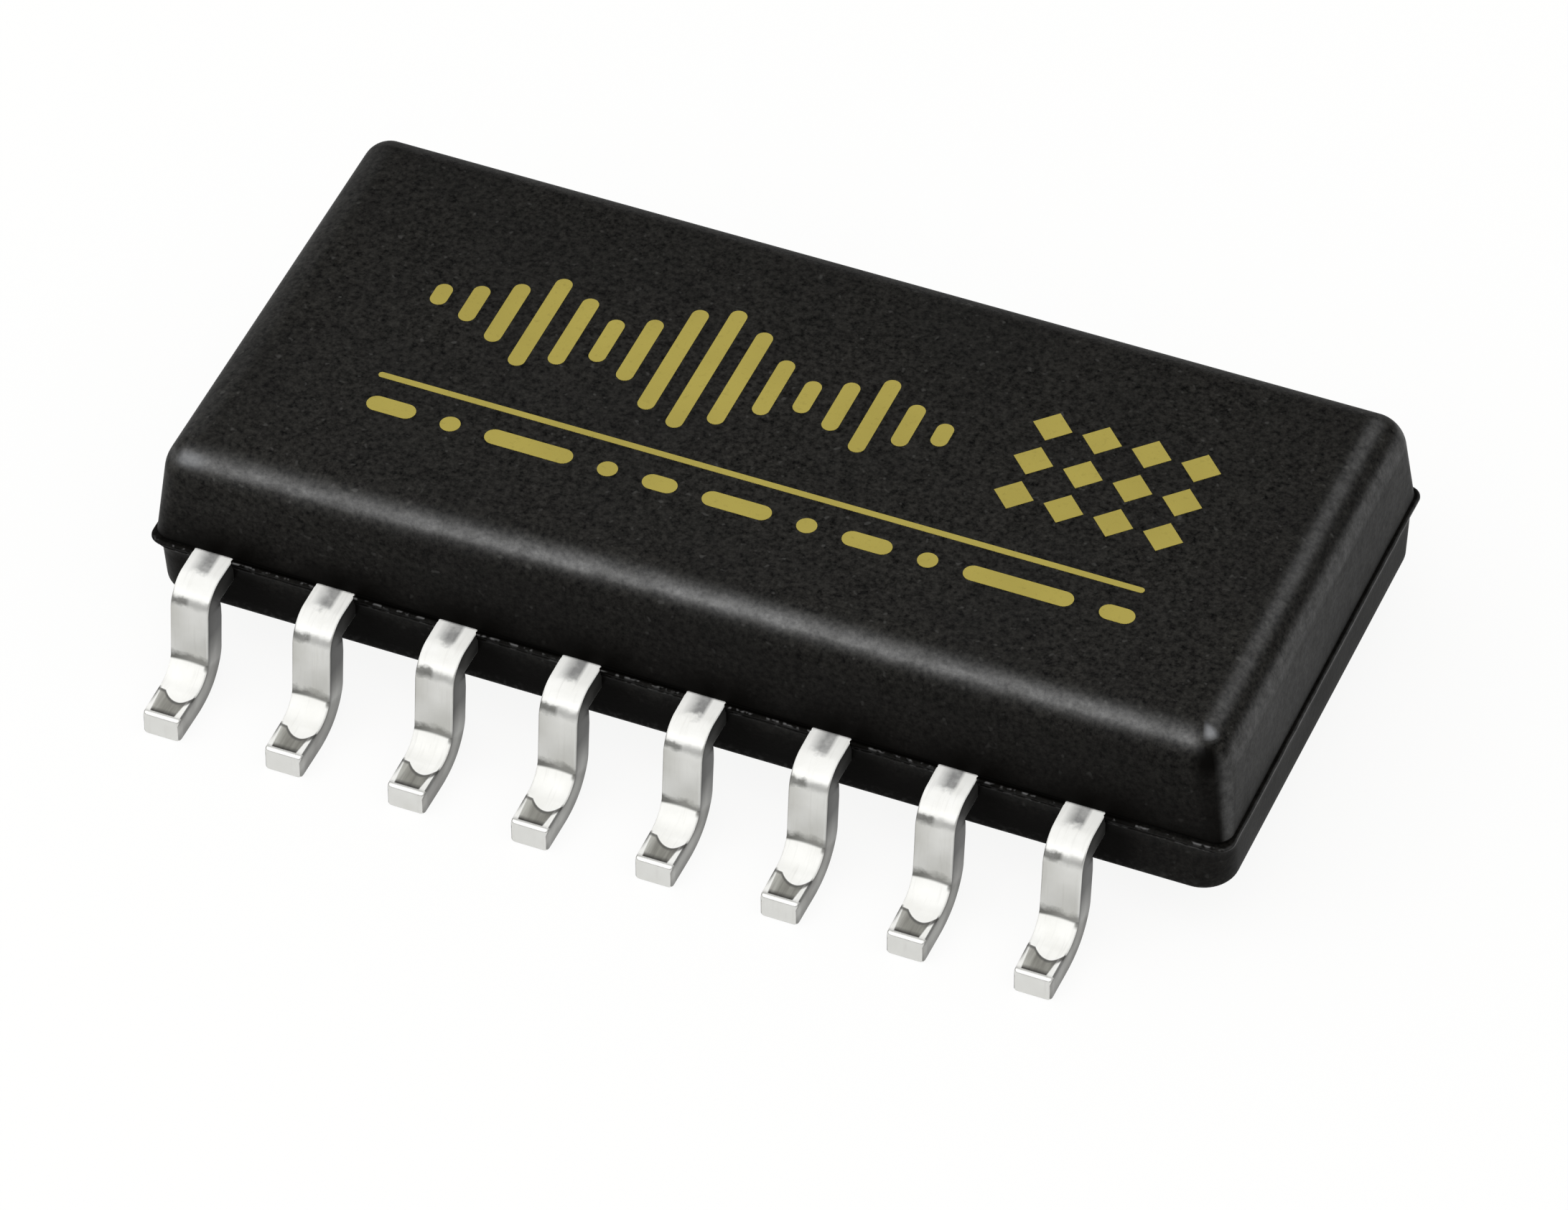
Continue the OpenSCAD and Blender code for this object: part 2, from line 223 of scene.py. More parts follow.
# A ring's tone is the share of the moulding's grey that its painted shade leaves
Ring = namedtuple("Ring", "inset z corner tone slope shine wobble", defaults=(None, 0.0, 0.0))


def add_object(name, data):
    """A new object in the scene from its mesh, camera or light."""
    made = bpy.data.objects.new(name, data)
    bpy.context.scene.collection.objects.link(made)
    return made


def add_mesh(name, points, faces, smooth=True):
    """A new mesh object from points in millimetres, smooth or flat, with flat caps."""
    mesh = bpy.data.meshes.new(name)
    mesh.from_pydata([Vector(p) * MM for p in points], [], faces)
    mesh.validate()
    mesh.update()
    for polygon in mesh.polygons:
        polygon.use_smooth = smooth and len(polygon.vertices) <= 4
    return add_object(name, mesh)


def add_values(piece, name, values):
    """A number for every point of a mesh, for its material to read."""
    layer = piece.data.attributes.new(name, "FLOAT", "POINT")
    layer.data.foreach_set("value", values)


def read(curve, place):
    """Value of a curve of straight steps, held at its ends."""
    if place <= curve[0][0]:
        return curve[0][1]
    for (start, low), (end, high) in zip(curve, curve[1:]):
        if place <= end:
            return low + (high - low) * (place - start) / (end - start)
    return curve[-1][1]


def lean(height):
    """How far a drafted wall leans in over a height."""
    return height * tan(DRAFT)


def between(ends, share):
    """A value a share of the way between two ends."""
    return ends[0] + (ends[1] - ends[0]) * share


def skin_corners(rings, count):
    """Corners of the faces between closed rings of points: two on one ring, then two on the next."""
    for ring in range(rings - 1):
        for step in range(count):
            here = ring * count + step
            beside = ring * count + (step + 1) % count
            yield here, beside, here + count, beside + count


# Body


def half_profile(height, radius, steps):
    """Rounded edge of one moulded half, from its wall on: rows of inset, height and slope."""
    centre_height = height - radius
    centre_inset = lean(centre_height) + radius / cos(DRAFT)
    rows = []
    for step in range(steps + 1):
        share = step / steps
        turn = DRAFT + share * (pi / 2 - DRAFT)
        inset = centre_inset - radius * cos(turn)
        rise = centre_height + radius * sin(turn)
        rows.append((inset, rise, 90.0 - degrees(turn)))
    return rows


def ring_points(inset, z, radius):
    """Points of a rounded rectangle around the body and the way each faces, as many for every ring."""
    half_x = BODY_LENGTH / 2 - inset
    half_y = WALL_Y - inset
    arcs = []
    for sign_x, sign_y, start in CORNERS:
        centre = Vector((sign_x * (half_x - radius), sign_y * (half_y - radius), z))
        arc = []
        for step in range(CORNER_STEPS + 1):
            angle = radians(start + 90 * step / CORNER_STEPS)
            outward = Vector((cos(angle), sin(angle), 0.0))
            arc.append((centre + outward * radius, outward))
        arcs.append(arc)
    points = []
    for arc, following, steps in zip(arcs, arcs[1:] + arcs[:1], SIDE_STEPS):
        points.extend(arc)
        point, outward = arc[-1]
        for step in range(1, steps):
            points.append((point.lerp(following[0][0], step / steps), outward))
    return points


def edge_corner(corner, inset, wall_inset):
    """Corner radius of a ring where an edge is rounded over: tighter than the wall's own."""
    return max(corner - MITRE_SHARE * (inset - wall_inset), LEAST_CORNER)


def lower_rings():
    """Rings of the lower half from underneath to the foot of the lip."""
    rings = []
    profile = half_profile(LOWER_HEIGHT, SOFT_BOTTOM_RADIUS, BOTTOM_FILLET_STEPS)
    flat_inset = profile[-1][0] - PARTING_STEP
    for extra in UNDERSIDE_INSETS:
        corner = max(LOWER_CORNERS[1] - extra, LEAST_CORNER)
        rings.append(Ring(flat_inset + extra, STAND_OFF, corner, UNDERSIDE_TONE))
    for inset, depth, _ in reversed(profile):
        corner = edge_corner(LOWER_CORNERS[1], inset, min(inset, lean(depth)))
        z = PARTING_Z - depth
        tone = read(LOWER_PAINTED_SHADE, z)
        rings.append(Ring(inset - PARTING_STEP, z, corner, tone, shine=BOTTOM_EDGE_SHINE))
    wall_inset, wall_depth, _ = profile[0]
    for share in LOWER_WALL_SHARES:
        inset = between((wall_inset - PARTING_STEP, LIP_FOOT_INSET), share)
        corner = between((LOWER_CORNERS[1], LOWER_CORNERS[0]), share)
        z = PARTING_Z - between((wall_depth, LIP_FOOT_DEPTH), share)
        rings.append(Ring(inset, z, corner, read(LOWER_PAINTED_SHADE, z)))
    return rings


def body_rings():
    """Rings of the moulding from underneath to the top."""
    rings = lower_rings()
    for depth, inset, corner, shine, tone in LIP:
        crest = max(0.0, -inset / PARTING_STEP)
        rings.append(Ring(inset, PARTING_Z - depth, corner, tone, shine=shine, wobble=crest))
    # The groove is painted black as shade
    for rise, inset, corner in GROOVE:
        rings.append(Ring(inset, PARTING_Z + rise, corner, 0.0))
    upper_height = UPPER_HEIGHT - INK_HEIGHT
    profile = half_profile(upper_height, TOP_EDGE_RADIUS, TOP_FILLET_STEPS)
    wall_rise = profile[0][1]
    for rise in UPPER_WALL_RISES:
        corner = between(UPPER_CORNERS, rise / wall_rise)
        z = PARTING_Z + rise
        rings.append(Ring(lean(rise), z, corner, read(WALL_PAINTED_SHADE, z), WALL_SLOPE))
    for inset, rise, slope in profile:
        corner = edge_corner(UPPER_CORNERS[1], inset, min(inset, lean(rise)))
        z = PARTING_Z + rise
        rings.append(Ring(inset, z, corner, read(WALL_PAINTED_SHADE, z), slope))
    for extra in TOP_INSETS:
        inset = profile[-1][0] + extra
        rings.append(Ring(inset, PARTING_Z + upper_height, LEAST_CORNER, 1.0, 0.0))
    return rings


def corner_turn(outward, side):
    """Turn from the front to one side on the corner there, or nothing elsewhere. The front counts as left."""
    if side * outward.x > 0 and outward.y < 0:
        return degrees(atan2(side * outward.x, -outward.y))
    return None


def left_glint(slope, outward, to_left):
    """How pale the painted highlight is at the end of the front's rubbed band, on the front-left corner."""
    turn = corner_turn(outward, LEFT)
    if turn is None:
        return 0.0
    return read(LEFT_GLINT_TURN, turn) * read(LEFT_GLINT_SLOPE, slope) * read(LEFT_GLINT_END, to_left)


def corner_glint(slope, outward):
    """How pale the painted highlight on the tip of the front-right corner is; it also adds to the rub there.
    """
    turn = corner_turn(outward, RIGHT)
    if turn is None:
        return 0.0
    return read(GLINT_TURN, turn) * read(GLINT_SLOPE, slope)


def rubbed(slope, point, outward, to_corner):
    """How smooth an edge of the top is rubbed, by its slope, its place and the way it faces."""
    across = read(RIGHT_RUB if outward.x > 0 else LEFT_RUB, slope)
    shifted = slope - read(FRONT_RUB_SHIFT, point.x)
    level = read(FRONT_RUB_LEVEL, point.x) * read(FRONT_END, to_corner)
    along = read(FRONT_RUB, shifted) * level
    if outward.y > 0:
        along = read(BACK_RUB, slope)
    turn = corner_turn(outward, RIGHT)
    if turn is None:
        left = corner_turn(outward, LEFT)
        if left is None:
            return across * outward.x ** 2 + along * outward.y ** 2
        edge = read(LEFT_EDGE_TURN, left) * read(LEFT_EDGE_SLOPE, slope)
        return max(edge, across * outward.x ** 2 + along * read(CORNER_LEFT, left))
    edge = read(EDGE_TURN, turn) * read(EDGE_SLOPE, slope)
    own = max(corner_glint(slope, outward), edge)
    return max(own, across * read(CORNER_RIGHT, turn) + along * read(CORNER_FRONT, turn))


def corner_shade(slope, outward, to_corner):
    """How black a place is in the painted shade on the front-right corner and just before it."""
    if outward.y > 0 or outward.x < LEFT_FACING:
        return 0.0
    turn = corner_turn(outward, RIGHT)
    share = read(CORNER_SHADE_END, to_corner) if turn is None else read(CORNER_SHADE_TURN, turn)
    return share * read(CORNER_SHADE_SLOPE, slope)


def beside_lead(point, outward):
    """How much a place on a long wall lies in the shade of the lead next to it."""
    if abs(outward.y) < SQUARE_FACING:
        return 0.0
    along = (point.x - ROW_OFFSET) / LEAD_PITCH + LEADS_PER_SIDE / 2
    if not 0.0 < along < LEADS_PER_SIDE:
        return 0.0
    from_lead = (along % 1.0 - 0.5) * LEAD_PITCH * (1.0 if outward.y < 0 else -1.0)
    curve = UPPER_SHADE if point.z > PARTING_Z else LOWER_SHADE
    if from_lead < curve[0][0]:
        from_lead += LEAD_PITCH
    return read(curve, from_lead) * read(SHADE_HEIGHT, point.z)


def groove_shade_tone(point, outward):
    """Grey tone of the groove: painted shade, black, broken here and there by grey worn stretches on the
    right end.
    """
    worn = max(noise.noise(point / GROOVE_PERIOD) + GROOVE_WEAR, 0.0)
    return min(GROOVE_CONTRAST * worn, 1.0) * GROOVE_TONE * max(outward.x, 0.0) ** 2


def wall_shade_tone(ring, point, outward):
    """Grey tone of a place with the painted shade of its height, before the painted shade beside the leads
    and on the corner.
    """
    if ring.slope is not None and ring.slope < TOP_SLOPE:
        return ring.tone * read(TOP_TONE, point.y)
    if ring.slope is None and ring.z > PARTING_Z - LIP[-1][0] / 2:
        return groove_shade_tone(point, outward)
    if outward.y > BACK_FACING:
        return ring.tone
    if ring.z > PARTING_Z:
        return min(ring.tone * read(FRONT_TONE, point.x), 1.0)
    return max(ring.tone, read(LOWER_END_TONE, point.x))


def wobbled(point, outward, amount):
    """A point moved a little, as the thin lip of a moulding is uneven."""
    if amount == 0.0:
        return point
    place = point / LIP_WOBBLE_PERIOD
    shift = LIP_WOBBLE * amount
    sideways = min(noise.noise(place) - LIP_FULL_LEVEL, 0.0)
    upward = noise.noise(place * LIP_UPWARD_SCALE + LIP_UPWARD_SHIFT)
    return point + outward * sideways * shift * LIP_SIDEWAYS + Vector((0, 0, upward * shift))


def body_values(ring, point, outward):
    """What the material reads at a place of the moulding: polish, grey tone with painted shade, shine of the
    lip, painted highlights.
    """
    slope = ring.slope
    shine = ring.shine * outward.y ** 2
    lit = 1.0 - beside_lead(point, outward)
    tone = wall_shade_tone(ring, point, outward)
    if slope is None:
        polish = LIP_RIGHT_RUB * max(outward.x, 0.0) ** 2 if ring.wobble > LIP_CREST else 0.0
        return polish, tone * lit, shine, 0.0
    corner_start = BODY_LENGTH / 2 - ring.inset - ring.corner
    to_corner = corner_start - point.x
    # Painted highlights on the two front corners of the top
    spot = max(corner_glint(slope, outward), left_glint(slope, outward, corner_start + point.x))
    lit *= 1.0 - corner_shade(slope, outward, to_corner)
    return rubbed(slope, point, outward, to_corner), tone * lit, shine, spot


def make_body():
    """The moulding as one skin of rings, with values for its grey tone and painted shade, its smooth edges
    and its painted highlights.
    """
    points = []
    values = []
    rings = body_rings()
    for ring in rings:
        for point, outward in ring_points(ring.inset, ring.z, ring.corner):
            points.append(wobbled(point, outward, ring.wobble))
            values.append(body_values(ring, point, outward))
    count = len(points) // len(rings)
    faces = [(here, beside, across, ahead) for here, beside, ahead, across in skin_corners(len(rings), count)]
    faces.append(tuple(reversed(range(count))))
    faces.append(tuple(range(len(points) - count, len(points))))
    body = add_mesh("moulded_body", points, faces)
    for name, column in zip(("edge_polish", "tone_with_painted_shade", "lip_crest", "corner_painted_highlight"), zip(*values)):
        add_values(body, name, column)
    return body


# Leads

# The leg leans out a little. Radii of the hollow above the heel: the fold at the leg's foot, then the
# wide part in the middle of the lead and at its edges, and the slope at which one goes into the other
LEG_LEAN = radians(6.0)
LEG_TURN = pi / 2 - LEG_LEAN
HEEL_TIGHT_RADIUS = 0.06
HEEL_WIDE_RADII = (0.28, 0.25)
HEEL_CHANGE = radians(66.0)
# How much thicker the leg is on its inner side, by station
LEG_SWELL = (
    (1.5, 0.0), (2.0, 0.034), (2.2, 0.06), (3.0, 0.06), (3.33, 0.05), (3.6, 0.03), (3.8, 0.008), (3.9, 0.0),
)
# Shares of the toe's rounding that its upright edges and its lower edge have
TOE_SIDE_SHARE = 0.35
TOE_BOTTOM_SHARE = 0.2
# Width of the rim round the toe's face, and the radius of that face's corners
TOE_FACE_RIM = 0.004
TOE_CORNER_RADIUS = 0.042
# Stations count the stretches of a lead, up to this one at the toe
STATIONS = 5.0
# Rows of a lead inside the moulding: y and station
INNER_ROWS = ((ANCHOR_END_Y, -1.0), (WALL_Y - 0.1, -0.4))


def lead_half_width(y):
    """Half the width of a lead at a distance from the middle plane."""
    share = max(0.0, (y - WALL_Y) / (TOE_Y - WALL_Y))
    return between((LEAD_WIDTH, TOE_WIDTH), share) / 2


def bend_rows(start, radius, turns, steps):
    """An arc of a lead's upper face from one turn to another: rows of y, z and turn."""
    rows = []
    for step in range(steps + 1):
        turn = between(turns, step / steps)
        y = start[0] + radius * (sin(turns[0]) - sin(turn))
        rows.append((y, start[1] - radius * (cos(turn) - cos(turns[0])), turn))
    return rows


def heel_rows(wide_radius, leg_start):
    """Upper face of the heel from the leg to the foot: rows of y, z and turn."""
    change_z = SHEET + wide_radius * (1 - cos(HEEL_CHANGE))
    foot_z = change_z + HEEL_TIGHT_RADIUS * (cos(HEEL_CHANGE) - cos(LEG_TURN))
    foot_y = leg_start[0] + (leg_start[1] - foot_z) * tan(LEG_LEAN)
    change_y = foot_y + HEEL_TIGHT_RADIUS * (sin(LEG_TURN) - sin(HEEL_CHANGE))
    fold = bend_rows((foot_y, foot_z), HEEL_TIGHT_RADIUS, (LEG_TURN, HEEL_CHANGE), LEAD_BEND_STEPS // 2)
    wide = bend_rows((change_y, change_z), wide_radius, (HEEL_CHANGE, 0.0), LEAD_BEND_STEPS)
    return fold[:-1] + wide


def lead_path(wide_radius):
    """Upper face of a gull wing from inside the body to the toe: rows of y, z, turn and station.

    Station 0 is at the wall, 1 at the shoulder's end, 2 at the top of the leg, 3 at its foot, 4 where the
    foot is level, 5 at the toe.
    """
    rows = [(y, PARTING_Z, 0.0, station) for y, station in INNER_ROWS]
    for share in SHOULDER_SHARES:
        rows.append((between((WALL_Y, SHOULDER_END_Y), share), PARTING_Z, 0.0, share))
    bend_z = FRAME_BOTTOM_Z - SHOULDER_BEND
    bend = SHOULDER_BEND + SHEET
    for step in range(LEAD_BEND_STEPS + 1):
        turn = LEG_TURN * step / LEAD_BEND_STEPS
        y = SHOULDER_END_Y + bend * sin(turn)
        z = bend_z + bend * cos(turn)
        rows.append((y, z, turn, 1.0 + step / LEAD_BEND_STEPS))
    heel = heel_rows(wide_radius, (y, z))
    for share in LEG_SHARES:
        leg_y = between((y, heel[0][0]), share)
        leg_z = between((z, heel[0][1]), share)
        rows.append((leg_y, leg_z, LEG_TURN, 2.0 + share))
    for index, (heel_y, heel_z, turn) in enumerate(heel):
        rows.append((heel_y, heel_z, turn, 3.0 + index / (len(heel) - 1)))
    for share in FOOT_SHARES:
        foot_y = between((heel[-1][0], TOE_Y - TOE_EDGE_RADIUS), share)
        rows.append((foot_y, SHEET, 0.0, 4.0 + share))
    return rows


def section_points(half_width, half_thick, radius):
    """A rounded rectangle across a lead: rows of sideways, upward and how far it faces sideways."""
    rows = []
    for sign_x, sign_z, start in CORNERS:
        for step in range(LEAD_EDGE_STEPS + 1):
            angle = radians(start + 90 * step / LEAD_EDGE_STEPS)
            sideways = sign_x * (half_width - radius) + radius * cos(angle)
            upward = sign_z * (half_thick - radius) + radius * sin(angle)
            rows.append((sideways, upward, abs(cos(angle))))
        if start in (0, 180):
            reach = sign_x * (half_width - radius)
            for step in range(1, LEAD_ACROSS_STEPS):
                share = step / LEAD_ACROSS_STEPS
                rows.append((reach * (1 - 2 * share), sign_z * half_thick, 0.0))
    return rows


def lead_sections():
    """All sections of a gull wing: upper face in the middle and at the edges, drawn edges, share of side."""
    middle = lead_path(HEEL_WIDE_RADII[0])
    edge = lead_path(HEEL_WIDE_RADII[1])
    sections = [(inner, outer, (0.0, 0.0), 1.0) for inner, outer in zip(middle, edge)]
    for step in range(LEAD_EDGE_STEPS + 1):
        angle = pi / 2 * step / LEAD_EDGE_STEPS
        row = (TOE_Y - TOE_EDGE_RADIUS * (1 - sin(angle)), SHEET, 0.0, STATIONS)
        drawn = TOE_EDGE_RADIUS * (1 - cos(angle))
        sections.append((row, row, (drawn, drawn * TOE_BOTTOM_SHARE), 1.0))
    rim = (TOE_EDGE_RADIUS + TOE_FACE_RIM, TOE_EDGE_RADIUS * TOE_BOTTOM_SHARE + TOE_FACE_RIM)
    sections.append((row, row, rim, 0.0))
    return sections


def row_step(number):
    """Place of a lead in its row, counted from the middle of the row."""
    return (number - 1) % LEADS_PER_SIDE - (LEADS_PER_SIDE - 1) / 2


def finger_ends(step):
    """Tip and knee of the finger inside the moulding, on the plan turned to +Y."""
    if abs(step) < MIDDLE_FINGERS:
        tip = Vector((step * (FINGER_WIDTH + TIP_SPACING), PAD_WIDTH / 2 + FINGER_GAP + FINGER_WIDTH / 2))
        return tip, Vector((step * LEAD_PITCH, ANCHOR_START_Y))
    index = 0 if abs(step) < MIDDLE_FINGERS + 1 else 1
    tip_x = copysign(PAD_LENGTH / 2 + FINGER_GAP + FINGER_WIDTH / 2, step)
    tip_y = TIE_WIDTH / 2 + TIE_SPACING + FINGER_WIDTH / 2 + (1 - index) * (FINGER_WIDTH + SIDE_SPACING)
    return Vector((tip_x, tip_y)), Vector((step * LEAD_PITCH, ANCHOR_START_Y - SIDE_KNEE_DEPTH[index]))


def bar_outline(start, end, width):
    """Outline of a straight bar with round ends."""
    along = (end - start).normalized()
    heading = atan2(along.y, along.x)
    outline = []
    for centre, first in ((end, heading - pi / 2), (start, heading + pi / 2)):
        for step in range(BAR_END_STEPS + 1):
            angle = first + pi * step / BAR_END_STEPS
            outline.append(centre + Vector((cos(angle), sin(angle))) * width / 2)
    return outline


def box_outline(low_x, low_y, high_x, high_y):
    """Outline of an upright rectangle on the plan."""
    return [Vector(c) for c in ((low_x, low_y), (high_x, low_y), (high_x, high_y), (low_x, high_y))]


def finger_plan(step):
    """Triangles of a finger's plan, joined into one shape: points and faces."""
    tip, knee = finger_ends(step)
    lead_x = step * LEAD_PITCH
    wide = LEAD_WIDTH / 2 + ANCHOR_MARGIN
    outlines = [bar_outline(tip, knee, FINGER_WIDTH)]
    outlines.append(box_outline(lead_x - wide, ANCHOR_START_Y, lead_x + wide, ANCHOR_END_Y))
    if knee.y < ANCHOR_START_Y:
        half = FINGER_WIDTH / 2
        outlines.append(box_outline(lead_x - half, knee.y, lead_x + half, ANCHOR_START_Y + FINGER_OVERLAP))
    points = []
    loops = []
    for outline in outlines:
        loops.append(list(range(len(points), len(points) + len(outline))))
        points.extend(outline)
    made = delaunay_2d_cdt(points, [], loops, 1, PLAN_TOLERANCE)
    return made[0], made[2]


def swept_points(lead_x):
    """Points of a gull wing section by section, each with its station, place across, side and height."""
    rows = []
    sections = lead_sections()
    half = SHEET / 2
    for middle, edge, (top_drawn, bottom_drawn), side_share in sections:
        wide = lead_half_width(middle[0]) - top_drawn * TOE_SIDE_SHARE
        rounded = min(top_drawn / TOE_EDGE_RADIUS, 1.0)
        radius = between((LEAD_EDGE_RADIUS, TOE_CORNER_RADIUS), rounded)
        for sideways, upward, side in section_points(wide, half - (top_drawn + bottom_drawn) / 2, radius):
            crown = 1.0 - (sideways / wide) ** 2
            y, z, turn, station = (between(pair, crown) for pair in zip(edge, middle))
            rise = upward - half - (top_drawn - bottom_drawn) / 2
            rise -= read(LEG_SWELL, station) * (half - upward) / SHEET
            place = Vector((lead_x + sideways, y + rise * sin(turn), z + rise * cos(turn)))
            rows.append((place, station, sideways / wide, side * side_share, upward / half))
    return rows, len(sections)


def make_lead(number, turned):
    """One lead: a rounded gull wing and, inside the moulding, its anchor and finger."""
    step = row_step(number)
    swept, levels = swept_points(step * LEAD_PITCH)
    points = [row[0] for row in swept]
    base = len(points)
    count = base // levels
    faces = [(here, ahead, across, beside) for here, beside, ahead, across in skin_corners(levels, count)]
    faces.append(tuple(range(count)))
    faces.append(tuple(reversed(range(base - count, base))))
    plan, triangles = finger_plan(step)
    upper = base + len(plan)
    for z in (FRAME_BOTTOM_Z, PARTING_Z):
        points.extend(Vector((p.x, p.y, z)) for p in plan)
    edges = []
    for triangle in triangles:
        faces.append(tuple(upper + i for i in triangle))
        faces.append(tuple(base + i for i in reversed(triangle)))
        edges.extend(zip(triangle, triangle[1:] + triangle[:1]))
    known = set(edges)
    for here, beside in edges:
        if (beside, here) not in known:
            faces.append((base + here, base + beside, upper + beside, upper + here))
    placed = [turned @ Vector((p.x, -p.y, p.z)) + Vector((ROW_OFFSET, 0, 0)) for p in points]
    mirrored = [tuple(reversed(face)) for face in faces]
    lead = add_mesh("formed_lead_%d" % number, placed, mirrored)
    inside = [0.0] * (2 * len(plan))
    for index, name in enumerate(("lead_station", "lead_across", "lead_side", "lead_up")):
        add_values(lead, name, [row[index + 1] for row in swept] + inside)
    return lead


# Print on the top face: plain shapes of a generic design

# Bars like a sound wave: the middle of the first, the step to the next, their width and heights
WAVE_START = (-3.75, 0.42)
WAVE_STEP = 0.345
WAVE_WIDTH = 0.17
WAVE_HEIGHTS = (
    0.3, 0.52, 0.86, 1.3, 0.98, 0.62, 0.9, 1.48, 1.74, 1.36, 0.8, 0.46, 0.7, 1.06, 0.6, 0.32,
)
# Field of diamonds: the middle of the first, the step to the next, their reach, columns and rows
DIAMOND_START = (2.35, -0.08)
DIAMOND_STEP = 0.5
DIAMOND_REACH = 0.2
DIAMOND_COLUMNS = 4
DIAMOND_ROWS = 3
# Thin line: its middle, length and width
LINE_MIDDLE = (0.05, -0.82)
LINE_LENGTH = 7.8
LINE_WIDTH = 0.07
# Row of dashes: its start, the width of the dashes, the gap between them and their lengths
DASH_START = (-3.8, -1.2)
DASH_WIDTH = 0.2
DASH_GAP = 0.26
DASH_LENGTHS = (0.5, 0.2, 0.9, 0.2, 0.35, 0.7, 0.2, 0.5, 0.2, 1.1, 0.35)


def make_print(outlines):
    """Thin layers of ink from outlines on the top face, as one piece."""
    high = PARTING_Z + UPPER_HEIGHT
    low = high - INK_HEIGHT - INK_SINK
    points = []
    faces = []
    for outline in outlines:
        base = len(points)
        count = len(outline)
        for z in (low, high):
            points.extend(Vector((p.x, p.y, z)) for p in outline)
        faces.append(tuple(base + count + i for i in range(count)))
        faces.append(tuple(base + i for i in reversed(range(count))))
        for here, beside, above, across in skin_corners(2, count):
            faces.append((base + here, base + beside, base + across, base + above))
    return add_mesh("top_print", points, faces, smooth=False)


def print_bar(x, y, length, width, along):
    """Outline of a bar with round ends, along the given direction."""
    reach = Vector(along) * ((length - width) / 2)
    return bar_outline(Vector((x, y)) - reach, Vector((x, y)) + reach, width)


def diamond(x, y, reach):
    """Outline of a square on its corner."""
    return [Vector((x + dx * reach, y + dy * reach)) for dx, dy in ((0, -1), (1, 0), (0, 1), (-1, 0))]


def print_outlines():
    """A row of bars like a sound wave, a field of diamonds and two thin rows below."""
    level = (1, 0)
    upright = (0, 1)
    outlines = []
    for index, height in enumerate(WAVE_HEIGHTS):
        x = WAVE_START[0] + WAVE_STEP * index
        outlines.append(print_bar(x, WAVE_START[1], height, WAVE_WIDTH, upright))
    for row in range(DIAMOND_ROWS):
        for column in range(DIAMOND_COLUMNS):
            x = DIAMOND_START[0] + DIAMOND_STEP * column
            outlines.append(diamond(x, DIAMOND_START[1] + DIAMOND_STEP * row, DIAMOND_REACH))
    outlines.append(print_bar(*LINE_MIDDLE, LINE_LENGTH, LINE_WIDTH, level))
    place, y = DASH_START
    for length in DASH_LENGTHS:
        outlines.append(print_bar(place + length / 2, y, length, DASH_WIDTH, level))
        place += length + DASH_GAP
    return outlines


# Materials


